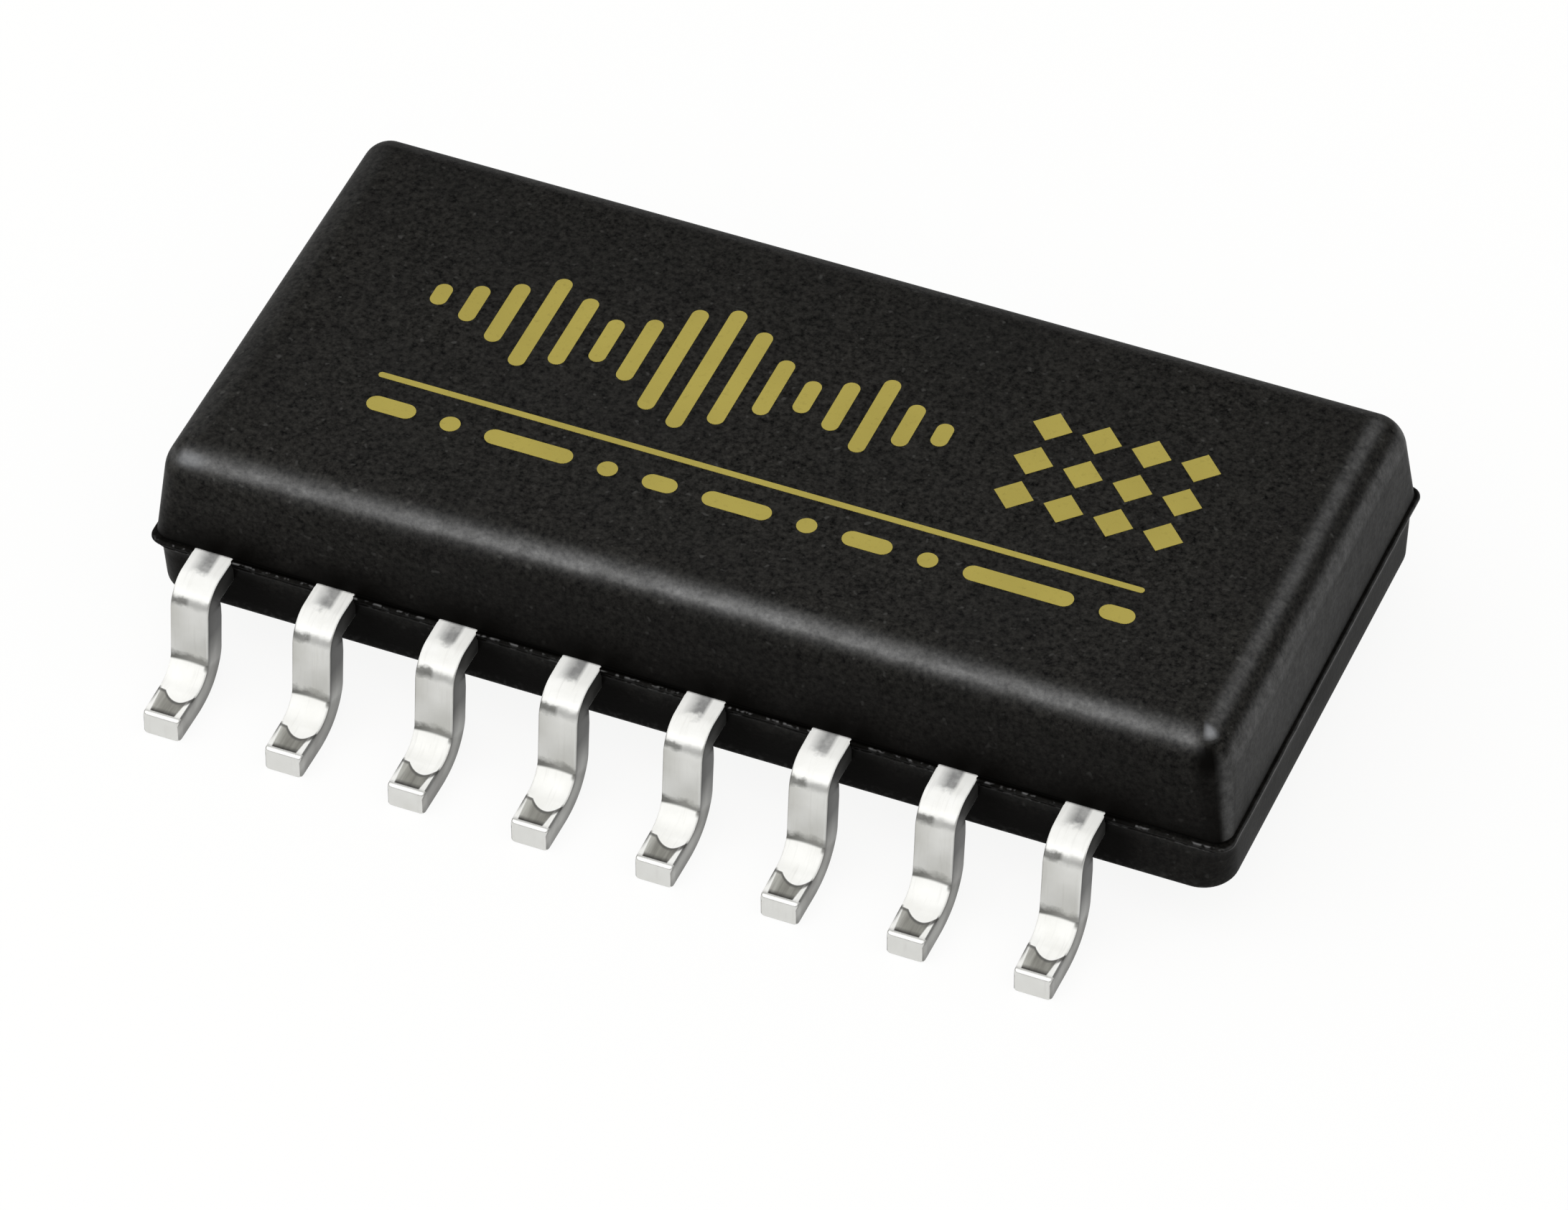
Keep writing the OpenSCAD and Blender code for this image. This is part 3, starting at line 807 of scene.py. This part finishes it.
class Nodes:
    """Short ways to add and join the nodes of a material or of the world."""

    def __init__(self, owner, shader="Principled BSDF", space="Object"):
        owner.use_nodes = True
        self.owner = owner
        self.tree = owner.node_tree
        self.shader = self.tree.nodes[shader]
        self.place = self.add("ShaderNodeTexCoord").outputs[space]

    def add(self, kind, **settings):
        node = self.tree.nodes.new(kind)
        for key, value in settings.items():
            setattr(node, key, value)
        return node

    def put(self, value, socket):
        """Another node's output, a number or a colour of three numbers for an input."""
        if isinstance(value, bpy.types.NodeSocket):
            self.tree.links.new(value, socket)
        elif isinstance(value, tuple):
            socket.default_value = (*value, 1.0)
        else:
            socket.default_value = value

    def fill(self, node, values):
        for name, value in values.items():
            self.put(value, node.inputs[name])

    def set(self, **values):
        """Values for the shader's own inputs, with their blanks written as low lines."""
        self.fill(self.shader, {name.replace("_", " "): value for name, value in values.items()})

    def noise(self, period, detail=3.0, roughness=0.6, stretch=None):
        """A noise value over the object's own space, with a grain in millimetres."""
        node = self.add("ShaderNodeTexNoise")
        source = self.place
        if stretch is not None:
            mapping = self.add("ShaderNodeMapping")
            mapping.inputs["Rotation"].default_value = stretch[0]
            mapping.inputs["Scale"].default_value = stretch[1]
            self.put(self.place, mapping.inputs["Vector"])
            source = mapping.outputs["Vector"]
        scale = 1.0 / (period * MM)
        self.fill(node, {"Vector": source, "Scale": scale, "Detail": detail, "Roughness": roughness})
        return node.outputs["Fac"]

    def span(self, value, low, high, to_low=0.0, to_high=1.0):
        """A value mapped from one span to another, held at the ends."""
        node = self.add("ShaderNodeMapRange")
        names = ("Value", "From Min", "From Max", "To Min", "To Max")
        self.fill(node, dict(zip(names, (value, low, high, to_low, to_high))))
        return node.outputs["Result"]

    def math(self, operation, first, second):
        node = self.add("ShaderNodeMath", operation=operation)
        self.put(first, node.inputs[0])
        self.put(second, node.inputs[1])
        return node.outputs["Value"]

    def times(self, first, second):
        return self.math("MULTIPLY", first, second)

    def blend(self, share, first, second, kind="MIX"):
        """A mix of two colours, each an output or three numbers."""
        node = self.add("ShaderNodeMix", data_type="RGBA", blend_type=kind)
        for index, value in ((0, share), (6, first), (7, second)):
            self.put(value, node.inputs[index])
        return node.outputs[2]

    def product(self, first, second):
        return self.blend(1.0, first, second, "MULTIPLY")

    def layered(self, colour, *layers):
        """A colour with layers over it, each a share and a colour."""
        for share, layer in layers:
            colour = self.blend(share, colour, layer)
        return colour

    def bump(self, height, depth, strength, below=None):
        """A bump of a real depth in millimetres, on top of another one if given."""
        node = self.add("ShaderNodeBump")
        self.fill(node, {"Strength": strength, "Distance": depth * MM, "Height": height})
        if below is not None:
            self.put(below, node.inputs["Normal"])
        return node.outputs["Normal"]

    def value(self, name):
        """A number kept on the points of the mesh."""
        return self.add("ShaderNodeAttribute", attribute_name=name).outputs["Fac"]

    def ramp(self, value, steps):
        """A grey level from a value between 0 and 1, by straight steps."""
        node = self.add("ShaderNodeValToRGB")
        elements = node.color_ramp.elements
        while len(elements) < len(steps):
            elements.new(0.5)
        for element, (place, level) in zip(elements, steps):
            element.position = place
            element.color = (level, level, level, 1.0)
        self.put(value, node.inputs["Fac"])
        return node.outputs["Color"]


def new_material(name):
    return Nodes(bpy.data.materials.new(name))


# Colours of the moulding: the dark and the pale of its grain, its clouds, filler specks and scuffs, the
# black of its painted shade and the pale of its painted highlights at two top corners
MOULD_GRAIN = ((0.0012, 0.0012, 0.0012), (0.0305, 0.0292, 0.0262))
MOULD_CLOUD = (0.0115, 0.0115, 0.0115)
MOULD_SPECK = (0.06, 0.059, 0.056)
MOULD_SCUFF = (0.05, 0.05, 0.048)
MOULD_BLACK = (0.0012, 0.001, 0.0007)
MOULD_PAINTED_HIGHLIGHT = (0.15, 0.155, 0.163)


def mould_material():
    """Black epoxy: a fine blasted grain, pale filler specks, faint scuffs and rubbed edges, with painted
    shade and painted corner highlights.
    """
    n = new_material("mould_compound_grain")
    grain = n.noise(0.052, roughness=0.7)
    specks = n.noise(0.09, detail=1.0)
    flecks = n.noise(0.06, detail=1.0)
    mottle = n.noise(0.16, stretch=((0.0, 0.0, 0.0), (0.6, 1.0, 1.0)))
    clouds = n.noise(1.6)
    scuffs = n.noise(0.05, detail=2.0, stretch=((0.0, 0.0, 0.7), (0.05, 1.0, 1.0)))
    grey = n.layered(
        n.blend(n.span(grain, 0.3, 0.72), *MOULD_GRAIN),
        (n.span(clouds, 0.35, 0.65, 0.0, 0.3), MOULD_CLOUD),
        (n.span(specks, 0.68, 0.78, 0.0, 0.6), MOULD_SPECK),
        (n.span(scuffs, 0.72, 0.82, 0.0, 0.25), MOULD_SCUFF),
    )
    # The grey is darkened towards black by painted shade
    grey_with_painted_shade = n.blend(n.value("tone_with_painted_shade"), MOULD_BLACK, grey)
    edge = n.times(n.value("edge_polish"), n.span(mottle, 0.3, 0.7, 0.7, 1.3))
    worn = n.times(edge, n.span(grain, 0.3, 0.7, 0.7, 1.1))
    crest = n.times(n.value("lip_crest"), n.span(flecks, 0.5, 0.64, 0.0, 0.75))
    fine = n.bump(grain, 0.004, 0.5)
    n.set(
        Base_Color=n.blend(n.value("corner_painted_highlight"), grey_with_painted_shade, MOULD_PAINTED_HIGHLIGHT),
        Roughness=n.span(clouds, 0.3, 0.7, 0.44, 0.54),
        Normal=n.bump(clouds, 0.004, 0.5, below=fine),
        Coat_Weight=n.math("MAXIMUM", worn, crest),
        Coat_Normal=fine,
        Coat_Roughness=0.32,
        Coat_IOR=1.85,
        Specular_IOR_Level=0.03,
        IOR=1.5,
    )
    return n.owner


# Tin plating along a lead, by station: its grey level, with painted shade down the leg and on the toe and a
# painted dark reflection where the bend ends, its roughness and frost, and the level of its sides
TIN_TONE_AND_SHADE = (
    (0.0, 0.98), (1.1, 0.97), (1.45, 0.8), (1.62, 0.66), (1.9, 0.74), (2.2, 0.74), (2.9, 0.64), (3.34, 0.6),
    (3.39, 0.885), (3.9, 0.9), (4.1, 0.96), (4.98, 0.92), (5.0, 0.7),
)
TIN_ROUGHNESS = (
    (0.0, 0.7), (1.2, 0.6), (1.6, 0.35), (2.0, 0.42), (3.3, 0.45), (3.4, 0.6), (4.9, 0.5), (5.0, 0.25),
)
TIN_FROST = (
    (0.0, 1.0), (1.3, 1.0), (1.45, 0.8), (1.62, 0.0), (3.35, 0.0), (3.4, 0.97), (4.9, 0.95), (5.0, 0.2),
)
SIDE_TONE_AND_SHADE = (
    (0.0, 0.08), (0.7, 0.115), (1.0, 0.125), (1.5, 0.095), (2.0, 0.08), (2.45, 0.085), (2.7, 0.2),
    (3.0, 0.36), (3.4, 0.43), (5.0, 0.43),
)
# How much of that level the sides have from their lower to their upper edge, darker at both edges as painted
# shade
SIDE_SHADE_LEVEL = ((0.0, 0.58), (0.25, 0.74), (0.5, 1.0), (0.78, 0.96), (0.93, 0.6), (1.0, 0.55))
SIDE_ROUGHNESS = 0.42
# Stretches with marks, painted shade and painted reflection, by station: where each starts, is full, starts
# to end and ends
GREY_LEG = (1.75, 1.9, 2.3, 2.8)
BEND_END_LINE = (1.6, 1.68, 1.77, 1.88)
CREASE_START = (2.84, 2.98)
CREASE_END = (3.34, 3.38)
HOOK = (3.2, 3.3, 3.42, 3.5)
LEFT_LINE = (4.05, 4.12, 4.4, 4.8)
RIGHT_LINE = (4.05, 4.2, 4.95, 4.99)
TOE_LINE_START = (4.8, 4.93)
# The grey blot from side to side, and the lines of the painted reflection along the tongue from its edge on
BLOT_ACROSS = (-0.72, -0.12, 0.24, 0.42)
THIN_LINE = (-0.02, 0.005, 0.05, 0.11)
THICK_LINE = (-0.03, 0.0, 0.12, 0.225)
# Colours of the tin: its clouds and streaks, then its marks, painted shade and painted reflection in the
# order in which they lie on it
TIN_CLOUDS = ((1.0, 1.0, 0.97), (0.925, 0.922, 0.885))
TIN_STREAKS = ((1.0, 1.0, 0.96), (0.72, 0.71, 0.68))
TIN_LINES = (0.5, 0.49, 0.46)
TIN_LEG = (0.38, 0.375, 0.34)
TIN_BLOT = (0.28, 0.28, 0.275)
TIN_BEND_LINE = (0.12, 0.12, 0.11)
TIN_FOLD_SHADE = (0.1, 0.1, 0.09)
TIN_REFLECTION = ((0.262, 0.26, 0.243), (0.62, 0.62, 0.6))
TIN_TOE_LINE = (0.085, 0.083, 0.079)
TIN_TONGUE_LINE = (0.065, 0.064, 0.061)
TIN_LEFT_EDGE_SHADE = (0.1, 0.1, 0.095)
TIN_RIGHT_EDGE_SHADE = (0.07, 0.07, 0.066)
# The white tongue of the heel, bounding the painted reflection on the foot: station and place across of
# its tip, how its edge falls back on the left and right of the tip, and how far at most
TONGUE_TIP = 4.45
TONGUE_MIDDLE = 0.35
TONGUE_LEFT_CURVE = 0.36
TONGUE_RIGHT_CURVE = 0.7
TONGUE_FALL = 0.3
# Left and right edge of the dark pad across the foot, a painted reflection of the dark body, at its heel
# end and at its toe end, the stations of those ends, and where the pad fades out
PAD_LEFT = (-0.84, -0.7)
PAD_RIGHT = (0.82, 0.62)
PAD_STATIONS = (4.1, 4.96)
PAD_END = (4.965, 4.99)


def tin_material():
    """Tin plating frosted at shoulder and heel, satin below; marks, painted shade and reflection; cut sides.
    """
    n = new_material("tin_plating")
    station = n.value("lead_station")
    share = n.math("DIVIDE", station, STATIONS)
    across = n.value("lead_across")
    facing = n.value("lead_side")
    side = n.span(facing, 0.88, 0.97)
    clouds = n.noise(0.3, detail=4.0)
    blots = n.noise(0.12)
    lines = n.noise(0.035, detail=2.0, stretch=((0.0, 0.0, 0.0), (1.0, 0.08, 0.08)))
    grain = n.noise(0.02, detail=2.0)

    def along(curve):
        return n.ramp(share, [(place / STATIONS, value) for place, value in curve])

    def window(value, edges):
        """1 between the two middle edges, falling to 0 at the outer ones."""
        return n.times(n.span(value, *edges[:2]), n.span(value, *edges[2:], 1.0, 0.0))

    def wavy(reach):
        """The station, moved to and fro by the blots."""
        return n.math("ADD", station, n.span(blots, 0.3, 0.7, -reach, reach))

    # The leg is greyer on its left
    grey_leg = n.times(window(station, GREY_LEG), n.span(across, -1.0, 0.2, 0.5, 0.0))
    # A soft grey blot on the shoulder, next to the wall
    patchy = n.span(blots, 0.3, 0.6, 0.7, 1.0)
    blot = n.times(window(across, BLOT_ACROSS), n.span(wavy(0.15), 0.8, 1.05, 1.0, 0.0))
    # A fuzzy painted dark reflection where the bend ends: dark on the left, faint on the right
    wavy_station = wavy(0.06)
    bend_line_depth = n.times(n.span(across, -0.2, -0.02, 0.85, 0.3), patchy)
    mark = n.times(window(wavy_station, BEND_END_LINE), bend_line_depth)
    # Painted shade in the fold at the foot of the leg, sharp below, with a short hook down its right edge
    crease = n.times(n.span(wavy_station, *CREASE_START), n.span(station, *CREASE_END, 1.0, 0.0))
    crease = n.times(crease, n.span(across, -0.7, 0.1, 0.85, 0.6))
    hook = n.times(window(station, HOOK), n.span(across, 0.8, 0.9, 0.0, 0.75))
    # The dark pad of the foot beyond the tongue, a painted reflection of the dark body, paler on its left,
    # with a dark line along its toe
    from_tip = n.math("SUBTRACT", across, TONGUE_MIDDLE)
    falls = []
    for pick, curve in (("MINIMUM", TONGUE_LEFT_CURVE), ("MAXIMUM", TONGUE_RIGHT_CURVE)):
        beside_tip = n.math(pick, from_tip, 0.0)
        falls.append(n.times(n.times(beside_tip, beside_tip), curve))
    fall = n.math("MINIMUM", n.math("ADD", *falls), TONGUE_FALL)
    beyond = n.math("SUBTRACT", n.math("ADD", station, fall), TONGUE_TIP)
    from_left = n.math("SUBTRACT", across, n.span(station, *PAD_STATIONS, *PAD_LEFT))
    from_right = n.math("SUBTRACT", n.span(station, *PAD_STATIONS, *PAD_RIGHT), across)
    in_sides = n.times(n.span(from_left, -0.03, 0.03), n.span(from_right, -0.03, 0.03))
    inner = n.times(in_sides, n.span(station, *PAD_END, 1.0, 0.0))
    pad = n.times(n.span(beyond, -0.02, 0.02), inner)
    lit = n.blend(n.span(from_left, 0.0, 0.5, 0.75, 0.0), *TIN_REFLECTION)
    reflection_tone = n.blend(n.span(station, *TOE_LINE_START), lit, TIN_TOE_LINE)
    streaks = n.blend(n.span(lines, 0.35, 0.65), *TIN_STREAKS)
    # A dark line along the tongue, part of the painted reflection, thicker on the right
    thick_line = n.times(window(beyond, THICK_LINE), n.span(across, 0.4, 0.85, 0.0, 0.95))
    tongue_line = n.math("MAXIMUM", n.times(window(beyond, THIN_LINE), 0.75), thick_line)
    # Painted shade: dark lines down the left edge of the foot, and on its rounded right edge from the tongue
    # to the toe
    left_edge_shade = n.times(window(station, LEFT_LINE), n.span(across, -0.93, -0.82, 0.85, 0.0))
    right_edge = n.times(n.span(facing, 0.1, 0.4, 0.0, 0.85), n.span(across, 0.5, 0.6))
    right_edge_shade = n.times(right_edge, window(station, RIGHT_LINE))
    # The cut sides: darker as cut, with painted shade near the shoulder and at their edges
    side_shade_level = n.ramp(n.span(n.value("lead_up"), -1.0, 1.0), SIDE_SHADE_LEVEL)
    side_tone_and_shade = n.product(n.product(along(SIDE_TONE_AND_SHADE), side_shade_level), streaks)
    colour = n.layered(
        n.product(along(TIN_TONE_AND_SHADE), n.blend(n.span(clouds, 0.3, 0.7), *TIN_CLOUDS)),
        (n.span(lines, 0.55, 0.8, 0.0, 0.25), TIN_LINES),
        (grey_leg, TIN_LEG),
        (n.times(blot, patchy), TIN_BLOT),
        (mark, TIN_BEND_LINE),
        (n.math("MAXIMUM", crease, hook), TIN_FOLD_SHADE),
        (pad, n.product(reflection_tone, streaks)),
        (tongue_line, TIN_TONGUE_LINE),
        (left_edge_shade, TIN_LEFT_EDGE_SHADE),
        (right_edge_shade, TIN_RIGHT_EDGE_SHADE),
        (side, side_tone_and_shade),
    )
    frost = n.times(along(TIN_FROST), n.math("SUBTRACT", 1.0, side))
    drawn = n.bump(lines, 0.0006, 0.5)
    grained = n.bump(grain, 0.0006, 0.4, below=drawn)
    n.set(
        Base_Color=colour,
        Roughness=n.math("MAXIMUM", along(TIN_ROUGHNESS), n.times(side, SIDE_ROUGHNESS)),
        Metallic=n.math("SUBTRACT", 1.0, frost),
        Normal=n.bump(clouds, 0.003, 0.4, below=grained),
        Specular_IOR_Level=0.3,
    )
    return n.owner


# Colours of the ink: two tones of its clouds, and where it is thin
INK_CLOUDS = ((0.374, 0.308, 0.061), (0.342, 0.28, 0.054))
INK_THIN = (0.252, 0.205, 0.041)


def ink_material():
    """Olive-gold ink: a flat film that is a little thinner where the grain below stands up."""
    n = new_material("gold_ink")
    grain = n.noise(0.05)
    clouds = n.noise(0.9, detail=2.0)
    tone = n.blend(n.span(clouds, 0.35, 0.65), *INK_CLOUDS)
    n.set(
        Base_Color=n.blend(n.span(grain, 0.58, 0.75, 0.0, 0.5), tone, INK_THIN),
        Roughness=n.span(grain, 0.3, 0.7, 0.45, 0.6),
        Normal=n.bump(grain, 0.002, 0.5),
        Specular_IOR_Level=0.25,
    )
    return n.owner


def plate_material(name, first, second, rough, metallic, grain_mm):
    """A plain plated or polished surface of the inner pieces, with a fine mottled tone."""
    n = new_material(name)
    grain = n.noise(grain_mm)
    n.set(
        Base_Color=n.blend(n.span(grain, 0.35, 0.65), first, second),
        Roughness=n.span(grain, 0.3, 0.7, rough * 0.8, rough * 1.2),
        Metallic=metallic,
        Normal=n.bump(grain, 0.001, 0.4),
    )
    return n.owner


# The floor: its size in metres, its own colour, the white it is lifted towards, and how far
FLOOR_SIZE = 0.5
FLOOR_COLOUR = (0.92, 0.92, 0.915)
FLOOR_WHITE = (1.0, 1.0, 0.995)
FLOOR_LIFT = 0.9


def floor_material():
    """A pale matte floor. Seen or mirrored, it is lifted towards white and keeps a soft shadow."""
    n = new_material("pale_floor")
    n.set(Base_Color=FLOOR_COLOUR, Roughness=0.9, Specular_IOR_Level=0.0)
    paths = n.add("ShaderNodeLightPath").outputs
    seen = n.math("MAXIMUM", paths["Is Camera Ray"], paths["Is Glossy Ray"])
    seen = n.math("MAXIMUM", seen, paths["Is Transmission Ray"])
    white = n.add("ShaderNodeEmission")
    n.put(FLOOR_WHITE, white.inputs["Color"])
    mix = n.add("ShaderNodeMixShader")
    n.put(n.times(seen, FLOOR_LIFT), mix.inputs[0])
    n.put(n.shader.outputs["BSDF"], mix.inputs[1])
    n.put(white.outputs["Emission"], mix.inputs[2])
    n.put(mix.outputs["Shader"], n.tree.nodes["Material Output"].inputs["Surface"])
    return n.owner


def wear(piece, material):
    """Gives a piece one material, in place of any it came with."""
    piece.data.materials.clear()
    piece.data.materials.append(material)


# Camera, at the photographed view

# Azimuth, elevation and roll in degrees
CAMERA_ANGLES = (22.8812, 44.5169, -0.4430)
CAMERA_DISTANCE = 96.4025
CAMERA_RIGHT = -0.0308
CAMERA_UP = -0.6194
CAMERA_TARGET = Vector((0.0, 0.0, 0.9))
CAMERA_LENS = 231.49
SENSOR_WIDTH = 36.0
CAMERA_CLIP = (0.001, 10.0)


def make_camera():
    """The camera at the photographed view, from its angles and shifts."""
    azimuth, elevation, roll = (radians(angle) for angle in CAMERA_ANGLES)
    level = cos(elevation)
    back = Vector((sin(azimuth) * level, -cos(azimuth) * level, sin(elevation)))
    right = Vector((cos(azimuth), sin(azimuth), 0.0))
    up = back.cross(right)
    place = back * CAMERA_DISTANCE + right * CAMERA_RIGHT + up * CAMERA_UP + CAMERA_TARGET
    rolled_right = right * cos(roll) + up * sin(roll)
    rolled_up = up * cos(roll) - right * sin(roll)
    data = bpy.data.cameras.new("camera")
    data.lens = CAMERA_LENS
    data.sensor_width = SENSOR_WIDTH
    data.sensor_fit = "HORIZONTAL"
    data.clip_start, data.clip_end = CAMERA_CLIP
    camera = add_object("camera", data)
    turn = Matrix((rolled_right, rolled_up, back)).transposed()
    camera.matrix_world = Matrix.Translation(place * MM) @ turn.to_4x4()
    bpy.context.scene.camera = camera


# Light

WORLD_STRENGTH = 1.0
# Height on the sky's sphere from -1 to 1, and how bright the sky is there
SKY = ((-1.0, 0.85), (0.02, 0.85), (0.09, 0.25), (0.29, 0.25), (0.57, 0.95), (1.0, 1.0))
# How much brighter the sky is in front of the object than above it
FRONT_SHARE = 0.45
# The key light: its direction from the object, distance and diameter in metres, and radiance
KEY_DIRECTION = (-0.277, -0.548, 0.788)
KEY_DISTANCE = 0.12
KEY_DIAMETER = 0.19
KEY_RADIANCE = 0.6


def make_world():
    """A soft sky: bright above, dim near the horizon, and brighter in front."""
    world = bpy.data.worlds.new("studio")
    bpy.context.scene.world = world
    n = Nodes(world, "Background", "Generated")
    parts = n.add("ShaderNodeSeparateXYZ")
    n.put(n.place, parts.inputs["Vector"])
    height = n.span(parts.outputs["Z"], -1.0, 1.0)
    front = WORLD_STRENGTH * (1.0 + FRONT_SHARE)
    back = WORLD_STRENGTH * (1.0 - FRONT_SHARE)
    n.set(
        Color=n.ramp(height, [((place + 1.0) / 2.0, level) for place, level in SKY]),
        Strength=n.span(parts.outputs["Y"], -1.0, 1.0, front, back),
    )


def make_light():
    """One large soft disc above the front left."""
    data = bpy.data.lights.new("key_softbox", "AREA")
    data.shape = "DISK"
    data.size = KEY_DIAMETER
    data.energy = KEY_RADIANCE * 4.0 * pi * (KEY_DIAMETER / 2) ** 2
    lamp = add_object("key_softbox", data)
    towards = Vector(KEY_DIRECTION).normalized()
    lamp.location = towards * KEY_DISTANCE
    lamp.rotation_mode = "QUATERNION"
    lamp.rotation_quaternion = towards.to_track_quat("Z", "Y")


def make_floor():
    reach = FLOOR_SIZE / 2 / MM
    corners = [(-reach, -reach, 0), (reach, -reach, 0), (reach, reach, 0), (-reach, reach, 0)]
    floor = add_mesh("floor", corners, [(0, 1, 2, 3)], smooth=False)
    wear(floor, floor_material())


# Making

make_camera()
make_world()
make_light()
make_floor()

body = make_body()
wear(body, mould_material())
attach(body, "root")
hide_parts("package_body")

tin = tin_material()
for number in range(1, 2 * LEADS_PER_SIDE + 1):
    turned = Matrix.Identity(3) if number <= LEADS_PER_SIDE else Matrix.Rotation(pi, 3, "Z")
    lead = make_lead(number, turned)
    wear(lead, tin)
    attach(lead, "root")
    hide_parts("lead_%d" % number)

print_piece = make_print(print_outlines())
wear(print_piece, ink_material())
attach(print_piece, "root")

inner = {
    "die_pad": plate_material("silvered_plate", (0.78, 0.74, 0.7), (0.68, 0.62, 0.56), 0.3, 1.0, 0.2),
    "die_adhesive": plate_material("filled_adhesive", (0.62, 0.61, 0.58), (0.5, 0.49, 0.46), 0.45, 0.0, 0.05),
    "die": plate_material("silicon_die", (0.2, 0.22, 0.28), (0.15, 0.17, 0.23), 0.2, 0.4, 0.12),
}
gold = plate_material("gold_wire", (0.85, 0.64, 0.24), (0.78, 0.56, 0.18), 0.25, 1.0, 0.02)
for number in range(1, 2 * LEADS_PER_SIDE + 1):
    inner["bond_wire_%d" % number] = gold
for name, material in inner.items():
    wear(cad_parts[name], material)

bpy.context.scene.view_settings.view_transform = "Standard"

bpy.context.view_layer.update()
